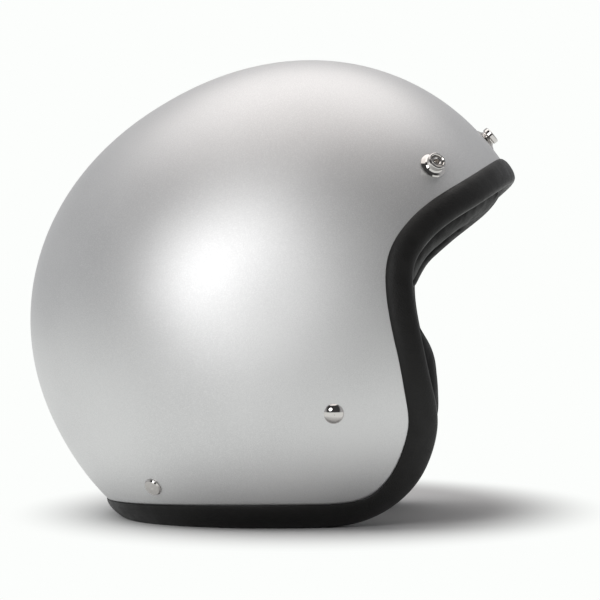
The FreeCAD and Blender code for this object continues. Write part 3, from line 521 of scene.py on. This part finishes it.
def strap_frame(hand, turn):
    """Where a chin strap starts, and its ways along, across and up, turned back by an angle."""
    along = np.array([-math.sin(turn), -hand * math.cos(turn), 0])
    across = np.array([math.cos(turn), -hand * math.sin(turn), 0])
    return np.array([LEG_X, STRAP_Y * hand, STRAP_Z]), along, across, np.array([0, 0, 1.0])


def along_path(frame_of, path):
    """Middle points and normals of webbing that follows a path of (along, up) in a strap's own frame."""
    origin, along, across, up = frame_of
    path = np.asarray(path, float)
    ahead = np.gradient(path, axis=0)
    ahead /= np.linalg.norm(ahead, axis=1, keepdims=True)
    spine = origin + path[:, :1] * along + path[:, 1:] * up
    normal = ahead[:, 1:] * along - ahead[:, :1] * up
    place, _ = web_columns()
    middle = spine[:, None] + place[None, :, None] * across * WEB_W / 2
    return middle, np.broadcast_to(normal[:, None], middle.shape)


def make_leg_and_strap(name, hand, turn, path):
    """Webbing from its rivet down the wall, in under the cheek pad, and on as the chin strap."""
    place, thickness = web_columns()
    z = np.concatenate([LEG_TOP_Z - CORNER_STEPS, np.linspace(LEG_TOP_Z - 8, LEG_FOOT_Z, 18)])
    share = end_taper(LEG_TOP_Z - z)
    x = LEG_X + share[:, None] * place * WEB_W / 2
    wall, wall_normal = on_wall(x, z[:, None], LEG_MIDDLE, hand)
    strap, strap_normal = along_path(strap_frame(hand, turn), path)
    share = np.linspace(0, 1, 12)[1:-1, None, None]
    ramp = wall[-1] + share * (strap[0] - wall[-1])
    turned = wall_normal[-1] + smooth(share) * (strap_normal[0] - wall_normal[-1])
    turned /= np.linalg.norm(turned, axis=-1, keepdims=True)
    middle = np.concatenate([wall, ramp, strap])
    normal = np.concatenate([wall_normal, turned, strap_normal])
    return slab(name, middle, normal, thickness)


def make_rear_leg(name, hand):
    """Webbing from the rear rivet forward along the rim, and on over the inside of the front leg."""
    place, thickness = web_columns()
    (start, end), (low, high) = REAR_LEG_X, REAR_LEG_Z
    x = np.concatenate([start + CORNER_STEPS, np.linspace(start + 7, end, 50)])
    share = end_taper(x - start)
    z = (low + high) / 2 + share[:, None] * place * (high - low) / 2
    depth = LEG_MIDDLE + (WEB_T + CROSS_GAP) * smooth((x - REAR_LEG_CROSS_X) / 9)
    rows = [on_wall(np.full_like(zs, xs), zs, d, hand) for xs, zs, d in zip(x, z, depth)]
    return slab(name, np.array([r[0] for r in rows]), np.array([r[1] for r in rows]), thickness)


def arc(centre, radius, start, end, count):
    """Points of an arc between two angles in degrees."""
    turn = np.radians(np.linspace(start, end, count))
    return np.stack([centre[0] + radius * np.cos(turn), centre[1] + radius * np.sin(turn)], -1)


def loop_path():
    """The short strap's path: out, over and round the bars of the rings, and back under itself."""
    x = np.linspace(0, LOOP_X - 0.5, 60)
    over = np.stack([x, LOOP_R * smooth((x - LOOP_START_X) / 9)], -1)
    back = np.linspace(LOOP_X - 0.5, LOOP_BACK_X, 26)
    swell = (LOOP_R - LOOP_UNDER) * smooth((back - LOOP_START_X) / 9)
    under = np.stack([back, -LOOP_UNDER - swell], -1)
    return np.vstack([over, arc((LOOP_X, 0), LOOP_R, 90, -90, 16), under])


def make_tail():
    """The long strap's end: round the fold and back over the strap to its cut corners."""
    frame_of = strap_frame(-1, LONG_TURN)
    back = np.linspace(FOLD_X - 0.6, TAIL_END_X + WEB_CORNER, 40)
    back = np.concatenate([back, TAIL_END_X + CORNER_STEPS[2::-1]])
    fold = arc((FOLD_X, FOLD_MIDDLE_Z), FOLD_MIDDLE_Z, -190, 90, 24)
    path = np.vstack([fold, np.stack([back, 0 * back + 2 * FOLD_MIDDLE_Z], -1)])
    middle, normal = along_path(frame_of, path)
    spine = middle[:, 8:9]
    share = end_taper(np.where(path[:, 1] > FOLD_MIDDLE_Z, path[:, 0] - TAIL_END_X, WEB_CORNER))
    return slab("folded_tail", spine + (middle - spine) * share[:, None, None], normal, web_columns()[1])


def make_sleeve(name, frame_of, end):
    """A padded sleeve round a strap, stitched flat along its border."""
    origin, along, across, up = frame_of
    start, half = SLEEVE_START, SLEEVE_HALF
    x = np.linspace(start, end, int((end - start) / 0.6))
    y = np.linspace(-half, half, 43)
    x, y = np.meshgrid(x, y, indexing="ij")
    inside = np.minimum(half - abs(y), np.minimum(x - start, end - x))
    pucker = 0.18 * np.sin((x + y) * 1.7) * np.exp(-((inside - 3.2) / 1.4) ** 2)
    thickness = 1.5 + 1.0 * smooth(inside / 0.7) + 3.3 * smooth((inside - 2.2) / 5.5)
    thickness -= 2 * groove(inside - 2.1, 0.3, 0.5)
    middle = origin + x[..., None] * along + y[..., None] * across
    return slab(name, middle, np.broadcast_to(up, middle.shape), thickness + pucker)


def stitches(name, rows, length=2.6, gap=1.0, radius=0.26):
    """Thread laid along rows; each row is (points, normals), the thread standing half out of the surface."""
    points, faces = [], []
    turn = np.linspace(0, 2 * math.pi, 7)[:-1]
    for line, normal in rows:
        line = np.asarray(line, float)
        along = np.concatenate([[0], np.cumsum(np.linalg.norm(np.diff(line, axis=0), axis=1))])
        normal = np.broadcast_to(np.asarray(normal, float), line.shape)
        for start in np.arange(0, along[-1] - length, length + gap):
            at = start + length * np.array([0, 0.12, 0.35, 0.65, 0.88, 1])
            spine = np.stack([np.interp(at, along, line[:, k]) for k in range(3)], -1)
            up = np.stack([np.interp(at, along, normal[:, k]) for k in range(3)], -1)
            ahead = spine[-1] - spine[0]
            ahead /= np.linalg.norm(ahead)
            aside = np.cross(up, ahead)
            lift = np.array([-1.0, -0.1, 0.35, 0.35, -0.1, -1.0])[:, None] * radius
            size = radius * np.array([0.7, 1, 1.1, 1.1, 1, 0.7])[:, None, None]
            ring = np.cos(turn)[:, None] * aside[:, None] + np.sin(turn)[:, None] * up[:, None]
            first = sum(len(p) for p in points)
            points.append(((spine + up * lift)[:, None] + size * ring).reshape(-1, 3))
            faces += grid_faces(6, 6, wrap_columns=True, first=first)
            faces += [tuple(first + k for k in range(6))[::-1], tuple(first + 30 + k for k in range(6))]
    return make_object(name, np.vstack(points), faces)


def sleeve_rows(frame_of, end):
    """The rows of stitches round both faces of a sleeve, with their normals."""
    origin, along, across, up = frame_of
    x0, x1, half = SLEEVE_START + SEWN_INSET, end - SEWN_INSET, SLEEVE_HALF - SEWN_INSET
    corners = [(x0, -half), (x1, -half), (x1, half), (x0, half), (x0, -half)]
    rows = []
    for (xa, ya), (xb, yb) in zip(corners, corners[1:]):
        line = np.linspace(origin + xa * along + ya * across, origin + xb * along + yb * across, 30)
        rows += [(line + side * SEWN_HEIGHT * up, side * up) for side in (1, -1)]
    return rows


# ---------------------------------------------------------------- materials
class Material:
    """A node material, with short calls for the nodes that it is built from."""

    def __init__(self, name):
        self.made = bpy.data.materials.new(name)
        self.made.use_nodes = True
        self.tree = self.made.node_tree
        self.shader = self.tree.nodes["Principled BSDF"]
        self.place = self.add("ShaderNodeTexCoord").outputs["Object"]

    def add(self, kind, **settings):
        node = self.tree.nodes.new(kind)
        for key, value in settings.items():
            setattr(node, key, value)
        return node

    def link(self, source, target):
        self.tree.links.new(source, target)

    def set(self, **values):
        for key, value in values.items():
            self.shader.inputs[key.replace("_", " ")].default_value = value

    def noise(self, scale, detail=2.0, rough=0.5):
        node = self.add("ShaderNodeTexNoise")
        node.inputs["Scale"].default_value = scale
        node.inputs["Detail"].default_value = detail
        node.inputs["Roughness"].default_value = rough
        self.link(self.place, node.inputs["Vector"])
        return node.outputs["Fac"]

    def cells(self, scale, feature="F1"):
        node = self.add("ShaderNodeTexVoronoi", feature=feature)
        node.inputs["Scale"].default_value = scale
        self.link(self.place, node.inputs["Vector"])
        return node.outputs["Distance"]

    def ramp(self, source, low, high, start=0.0, end=1.0):
        """A number or colour that goes from low to high as the source goes from start to end."""
        if isinstance(low, tuple):
            node = self.add("ShaderNodeValToRGB")
            node.color_ramp.elements[0].position, node.color_ramp.elements[1].position = start, end
            node.color_ramp.elements[0].color, node.color_ramp.elements[1].color = (*low, 1), (*high, 1)
            self.link(source, node.inputs["Fac"])
            return node.outputs["Color"]
        node = self.add("ShaderNodeMapRange")
        for key, value in (("From Min", start), ("From Max", end), ("To Min", low), ("To Max", high)):
            node.inputs[key].default_value = value
        self.link(source, node.inputs["Value"])
        return node.outputs["Result"]

    def maths(self, operation, a, b=0.0):
        node = self.add("ShaderNodeMath", operation=operation)
        for socket, value in zip(node.inputs, (a, b)):
            if isinstance(value, (int, float)):
                socket.default_value = value
            else:
                self.link(value, socket)
        return node.outputs["Value"]

    def bump(self, height, distance, strength=1.0, below=None):
        node = self.add("ShaderNodeBump")
        node.inputs["Distance"].default_value = distance
        node.inputs["Strength"].default_value = strength
        self.link(height, node.inputs["Height"])
        if below is not None:
            self.link(below, node.inputs["Normal"])
        return node.outputs["Normal"]

    def use(self, **sources):
        for key, source in sources.items():
            self.link(source, self.shader.inputs[key.replace("_", " ")])


def silver_paint():
    """Satin metallic paint: fine flake, a slow drift in tone, and a thin clear coat."""
    m = Material("silver_paint")
    flakes = m.cells(2600)
    drift = m.noise(9, 3)
    shade = m.maths("ADD", m.maths("MULTIPLY", flakes, 0.7), drift)
    m.use(
        Base_Color=m.ramp(shade, (0.50, 0.50, 0.505), (0.68, 0.68, 0.68), 0.3, 1.1),
        Roughness=m.ramp(drift, 0.47, 0.52, 0.3, 0.7),
        Normal=m.bump(flakes, 0.00002, 0.35))
    m.set(Metallic=0.88, Coat_Weight=0.12, Coat_Roughness=0.32)
    return m.made


def leather(name, tone, grain, gloss, shine):
    """Soft grained leatherette: small cells, a few long creases, and a little wear in random patches."""
    m = Material(name)
    cells = m.cells(grain, "DISTANCE_TO_EDGE")
    pebble = m.ramp(cells, 0.0, 1.0, 0.0, 0.22)
    crease = m.ramp(m.noise(60, 5, rough=0.7), 0.0, 1.0, 0.42, 0.56)
    wear = m.noise(24, 4)
    m.use(
        Base_Color=m.ramp(wear, tuple(0.8 * c for c in tone), tuple(1.3 * c for c in tone), 0.3, 0.75),
        Roughness=m.ramp(m.noise(130, 3), gloss, gloss + 0.14, 0.3, 0.7),
        Normal=m.bump(pebble, 0.00012, 0.45, m.bump(crease, 0.0004, 0.15)))
    m.set(Specular_IOR_Level=shine, Sheen_Weight=0.02, Sheen_Roughness=0.5)
    return m.made


def cloth(name, tone, pitch, uv=False):
    """Knitted or woven cloth: two crossing sets of threads, fuzz and uneven dye."""
    m = Material(name)
    where = m.add("ShaderNodeUVMap", uv_map="cloth").outputs["UV"] if uv else m.place
    split = m.add("ShaderNodeSeparateXYZ")
    m.link(where, split.inputs["Vector"])
    threads = []
    for axis in ("X", "Y") if uv else ("X", "Y", "Z"):
        threads.append(m.maths("SINE", m.maths("MULTIPLY", split.outputs[axis], 2 * math.pi / pitch)))
    weave = m.maths("MULTIPLY", threads[0], threads[1])
    if not uv:
        weave = m.maths("ADD", weave, m.maths("MULTIPLY", threads[1], threads[2]))
    shade = m.maths("ADD", weave, m.noise(700, 2))
    m.use(
        Base_Color=m.ramp(shade, tuple(0.7 * c for c in tone), tuple(1.5 * c for c in tone), -0.6, 1.8),
        Roughness=m.ramp(m.noise(90, 3), 0.78, 0.95, 0.3, 0.7),
        Normal=m.bump(weave, 0.00018, 0.6, m.bump(m.noise(900, 3), 0.0001, 0.4)))
    m.set(Sheen_Weight=0.25, Sheen_Roughness=0.5)
    return m.made


def webbing():
    """Flat nylon webbing: ribs across, herringbone along, in the strap's own length and width."""
    m = Material("webbing")
    split = m.add("ShaderNodeSeparateXYZ")
    m.link(m.add("ShaderNodeUVMap", uv_map="cloth").outputs["UV"], split.inputs["Vector"])
    along, across = split.outputs["X"], split.outputs["Y"]
    zigzag = m.maths("PINGPONG", across, 0.0026)
    rib = m.maths("SINE", m.maths("MULTIPLY", m.maths("ADD", along, zigzag), 2 * math.pi / 0.0016))
    rows = m.maths("SINE", m.maths("MULTIPLY", across, 2 * math.pi / 0.0013))
    weave = m.maths("ADD", m.maths("MULTIPLY", rib, 0.7), m.maths("MULTIPLY", rows, 0.4))
    shade = m.maths("ADD", weave, m.noise(260, 3))
    m.use(
        Base_Color=m.ramp(shade, (0.010, 0.010, 0.011), (0.040, 0.040, 0.043), -0.6, 1.6),
        Roughness=m.ramp(m.noise(110, 3), 0.62, 0.82, 0.3, 0.7),
        Normal=m.bump(weave, 0.00022, 0.7, m.bump(m.noise(1500, 2), 0.00005, 0.3)))
    m.set(Sheen_Weight=0.15, Sheen_Roughness=0.4)
    return m.made


def metal(name, tone, low, high, scratch=0.25):
    """Polished or plain metal with fine scratches and smudges."""
    m = Material(name)
    smudge = m.noise(180, 4)
    m.use(
        Base_Color=m.ramp(smudge, tuple(0.94 * c for c in tone), tone, 0.3, 0.7),
        Roughness=m.ramp(smudge, low, high, 0.35, 0.75),
        Normal=m.bump(m.noise(1400, 2), 0.00001, scratch))
    m.set(Metallic=1.0)
    return m.made


def bead_foam():
    """Moulded bead foam: rounded beads pressed flat against the mould, painted black."""
    m = Material("bead_foam")
    beads = m.cells(330, "DISTANCE_TO_EDGE")
    tone = m.noise(40, 3)
    m.use(
        Base_Color=m.ramp(m.maths("ADD", beads, tone), (0.018,) * 3, (0.060, 0.060, 0.062), 0.3, 1.0),
        Roughness=m.ramp(beads, 0.9, 0.7, 0.0, 0.3),
        Normal=m.bump(m.ramp(beads, 0.0, 1.0, 0.0, 0.2), 0.0003, 0.8))
    return m.made


def moulded_plastic():
    m = Material("moulded_plastic")
    m.use(
        Base_Color=m.ramp(m.noise(120, 3), (0.012, 0.012, 0.013), (0.03, 0.03, 0.031), 0.3, 0.7),
        Roughness=m.ramp(m.noise(300, 3), 0.35, 0.55, 0.3, 0.7),
        Normal=m.bump(m.noise(1200, 2), 0.00003, 0.5))
    return m.made


def thread():
    m = Material("thread")
    twist = m.noise(1800, 2)
    m.use(
        Base_Color=m.ramp(twist, (0.05, 0.05, 0.052), (0.11, 0.11, 0.112), 0.3, 0.7),
        Roughness=m.ramp(twist, 0.5, 0.8, 0.3, 0.7),
        Normal=m.bump(twist, 0.0001, 0.6))
    return m.made


def paint_on(piece, material):
    piece.data.materials.clear()
    piece.data.materials.append(material)
    return piece


def recolour(node, material):
    """Give a CAD object a node material in place of its plain one."""
    mesh = NODES[node].data
    if not mesh.materials:
        mesh.materials.append(material)
    for k in range(len(mesh.materials)):
        mesh.materials[k] = material


# ---------------------------------------------------------------- studio
def make_studio():
    """A painted shadow, a grey floor oval fading into the white background, and a grey room to light and be
    reflected.
    """
    corners = [(x * FLOOR_HALF_MM, y * FLOOR_HALF_MM, 0) for x, y in ((-1, -1), (1, -1), (1, 1), (-1, 1))]
    floor = make_object("floor", corners, [(0, 1, 2, 3)])
    m = Material("floor_with_painted_shadow")
    # painted shadow: the floor's grey inside the oval, darker than the white glow it fades into
    m.use(Base_Color=m.ramp(m.noise(3, 2), *PAINTED_SHADOW_TONES, 0.3, 0.7))
    m.set(Roughness=0.95, Specular_IOR_Level=0.1)
    shadow = m.add("ShaderNodeMapping")
    shadow.inputs["Location"].default_value = SHADOW_SHIFT
    shadow.inputs["Scale"].default_value = SHADOW_SCALE
    m.link(m.place, shadow.inputs["Vector"])
    away = m.add("ShaderNodeVectorMath", operation="LENGTH")
    m.link(shadow.outputs["Vector"], away.inputs[0])
    glow = m.add("ShaderNodeEmission")
    glow.inputs["Color"].default_value = (*BACKGROUND, 1)
    blend = m.add("ShaderNodeMixShader")
    fade = m.ramp(away.outputs["Value"], 0.0, 1.0, *SHADOW_FADE)
    fade.node.interpolation_type = "SMOOTHSTEP"
    m.link(fade, blend.inputs[0])
    m.link(m.shader.outputs[0], blend.inputs[1])
    m.link(glow.outputs[0], blend.inputs[2])
    m.link(blend.outputs[0], m.tree.nodes["Material Output"].inputs["Surface"])
    floor.data.materials.append(m.made)
    world = bpy.data.worlds.new("studio")
    world.use_nodes = True
    nodes, links = world.node_tree.nodes, world.node_tree.links
    seen, lighting = nodes["Background"], nodes.new("ShaderNodeBackground")
    mix = nodes.new("ShaderNodeMixShader")
    seen.inputs["Color"].default_value = (*BACKGROUND, 1)
    look, facing, wall = (nodes.new(kind) for kind in (
        "ShaderNodeTexCoord", "ShaderNodeVectorMath", "ShaderNodeValToRGB"))
    facing.operation = "DOT_PRODUCT"
    facing.inputs[1].default_value = DARK_SIDE
    wall.color_ramp.interpolation = "EASE"
    wall.color_ramp.elements[0].position, wall.color_ramp.elements[1].position = DARK_FROM, DARK_TO
    wall.color_ramp.elements[0].color, wall.color_ramp.elements[1].color = (*ROOM, 1), (*ROOM_DARK, 1)
    links.new(look.outputs["Generated"], facing.inputs[0])
    links.new(facing.outputs["Value"], wall.inputs["Fac"])
    links.new(wall.outputs["Color"], lighting.inputs["Color"])
    links.new(nodes.new("ShaderNodeLightPath").outputs["Is Camera Ray"], mix.inputs[0])
    links.new(lighting.outputs[0], mix.inputs[1])
    links.new(seen.outputs[0], mix.inputs[2])
    links.new(mix.outputs[0], nodes["World Output"].inputs["Surface"])
    bpy.context.scene.world = world
    bpy.context.scene.view_settings.view_transform = "Standard"


def area_light(name, place, towards, size, watts, tint=(1, 1, 1)):
    data = bpy.data.lights.new(name, "AREA")
    data.shape, data.size, data.energy, data.color = "DISK", size, watts, tint
    light = bpy.data.objects.new(name, data)
    light.location = place
    light.rotation_euler = (Vector(towards) - Vector(place)).to_track_quat("-Z", "Y").to_euler()
    bpy.context.scene.collection.objects.link(light)


def make_lights():
    middle = (0, 0, 0.12)
    area_light("key", (-0.70, -1.98, 1.04), middle, 1.1, 18.5)
    area_light("top", (-0.05, 0.2, 2.4), middle, 3.2, 32, (1.0, 0.955, 0.93))


def make_camera():
    data = bpy.data.cameras.new("camera")
    data.lens, data.sensor_width = LENS, SENSOR
    camera = bpy.data.objects.new("camera", data)
    camera.location = CAMERA
    camera.rotation_euler = (Vector(TARGET) - camera.location).to_track_quat("-Z", "Y").to_euler()
    bpy.context.scene.collection.objects.link(camera)
    bpy.context.scene.camera = camera


# ---------------------------------------------------------------- build
def ride_on(piece, body, *nodes):
    """Fix a piece to a body, and hide the CAD nodes whose place it takes."""
    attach(piece, body)
    if nodes:
        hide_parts(*nodes)
    return piece


def dress_padding(leather_made):
    """Soft pads with their piping and pressed seams."""
    brow = puffed("soft_brow", "brow_pad", voxel=4.0, most=1.6)
    brow_line = reach_line(0, BROW_REACH, 300)
    back_seam = side_offset(brow_line, -BROW_SEAM)
    press_in(brow, lambda p: groove(nearest(p, back_seam), 1.6, 1.6) - BROW_SWELL)
    pads = [(brow, "brow_pad", 0.8)]
    neck = puffed("soft_neck_roll", "neck_roll", voxel=5.0, most=2.2)
    press_in(neck, lambda p: groove(p[:, 2] - NECK_SEAM_Z, 1.8, 1.8) * (p[:, 0] < NECK_SEAM_X))
    pads.append((neck, "neck_roll", 0.9))
    cheek_line = reach_line(CHEEK_FIRST, CHEEK_REACH, 240)
    seam = side_offset(cheek_line, -CHEEK_SEAM)
    for name in ("left", "right"):
        cheek = puffed("soft_cheek_" + name, "cheek_pad_" + name, voxel=4.5, most=1.8)
        press_in(cheek, lambda p: groove(nearest(p, seam), 2.0, 1.8) * (abs(p[:, 1]) < CHEEK_SEAM_Y)
                 - CHEEK_SWELL * smooth((p[:, 2] - 84) / 12) * smooth((p[:, 0] - 50) / 15))
        pads.append((cheek, "cheek_pad_" + name, 0.85))
    for piece, node, fill in pads:
        paint_on(piece, leather_made)
        ride_on(piece, "helmet", node)
    for name, hand in (("left", 1), ("right", -1)):
        line = side_offset(cheek_line, -1.0)[PIPING_START:]
        aside = 0 * line[:, 0] + hand * (CHEEK_INNER_Y + PIPING_LIFT)
        piping = tube("cheek_piping_" + name, np.stack([line[:, 0], aside, line[:, 1]], -1), PIPING_R)
        ride_on(paint_on(piping, leather_made), "helmet")


def dress_straps(web, sleeve_made, thread_made):
    """The strap legs, chin straps, folded tail and stitched sleeves."""
    short, long = strap_frame(1, 0.0), strap_frame(-1, LONG_TURN)
    straight = np.stack([np.linspace(0, FOLD_X - FOLD_ROOM, 90), np.zeros(90)], -1)
    for name, hand, turn, path in (("left", 1, 0.0, loop_path()), ("right", -1, LONG_TURN, straight)):
        piece = paint_on(make_leg_and_strap("webbing_" + name, hand, turn, path), web)
        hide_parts("front_strap_leg_" + name, "chin_strap_" + name)
        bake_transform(piece)
        rear = paint_on(make_rear_leg("rear_webbing_" + name, hand), web)
        ride_on(rear, "helmet", "rear_strap_leg_" + name)
    ride_on(paint_on(make_tail(), web), "tail", "strap_tail")
    for name, frame_of in (("left", short), ("right", long)):
        end = SLEEVE_END[name]
        sleeve = paint_on(make_sleeve("padded_sleeve_" + name, frame_of, end), sleeve_made)
        ride_on(sleeve, "strap_" + name, "strap_sleeve_" + name)
        rows = sleeve_rows(frame_of, end)
        sewn = paint_on(stitches("sleeve_stitches_" + name, rows), thread_made)
        ride_on(sewn, "strap_" + name)


def main():
    edge = edge_in_side_view()
    paint = silver_paint()
    trim_leather = leather("trim_leather", (0.0050, 0.0047, 0.0045), grain=760, gloss=0.42, shine=0.27)
    lining_leather = leather("lining_leather", (0.0045, 0.0043, 0.0042), grain=900, gloss=0.55, shine=0.17)
    polished = metal("polished_chrome", (0.62, 0.6, 0.58), 0.05, 0.12)

    shell = paint_on(make_shell(edge), paint)
    ride_on(shell, "helmet", "outer_shell")
    trim = paint_on(make_trim(edge), trim_leather)
    ride_on(trim, "helmet", "edge_trim")

    foam, plastic = bead_foam(), moulded_plastic()
    steel = metal("plate_steel", (0.55, 0.55, 0.56), 0.28, 0.42, 0.5)
    lining_cloth = cloth("lining_cloth", (0.036, 0.036, 0.038), 0.0011)
    sleeve_cloth = cloth("sleeve_cloth", (0.016, 0.016, 0.017), 0.0009, uv=True)
    band, sewing = webbing(), thread()
    by_slot = {
        "shell_paint": paint, "trim_rubber": trim_leather, "liner_foam": foam, "lining_cloth": lining_cloth,
        "lining_leather": lining_leather, "snap_plastic": plastic, "chrome": polished, "plate_steel": steel,
        "ring_steel": polished, "sleeve_cloth": lining_cloth, "webbing": band,
    }
    for part in frame["record"]["subparts"]:
        recolour(part["node"], by_slot[part["material_slot"]])
    crown = paint_on(make_crown(), lining_cloth)
    ride_on(crown, "helmet", "crown_pad")
    dress_padding(lining_leather)
    dress_straps(band, sleeve_cloth, sewing)
    make_camera()
    make_lights()
    make_studio()


main()
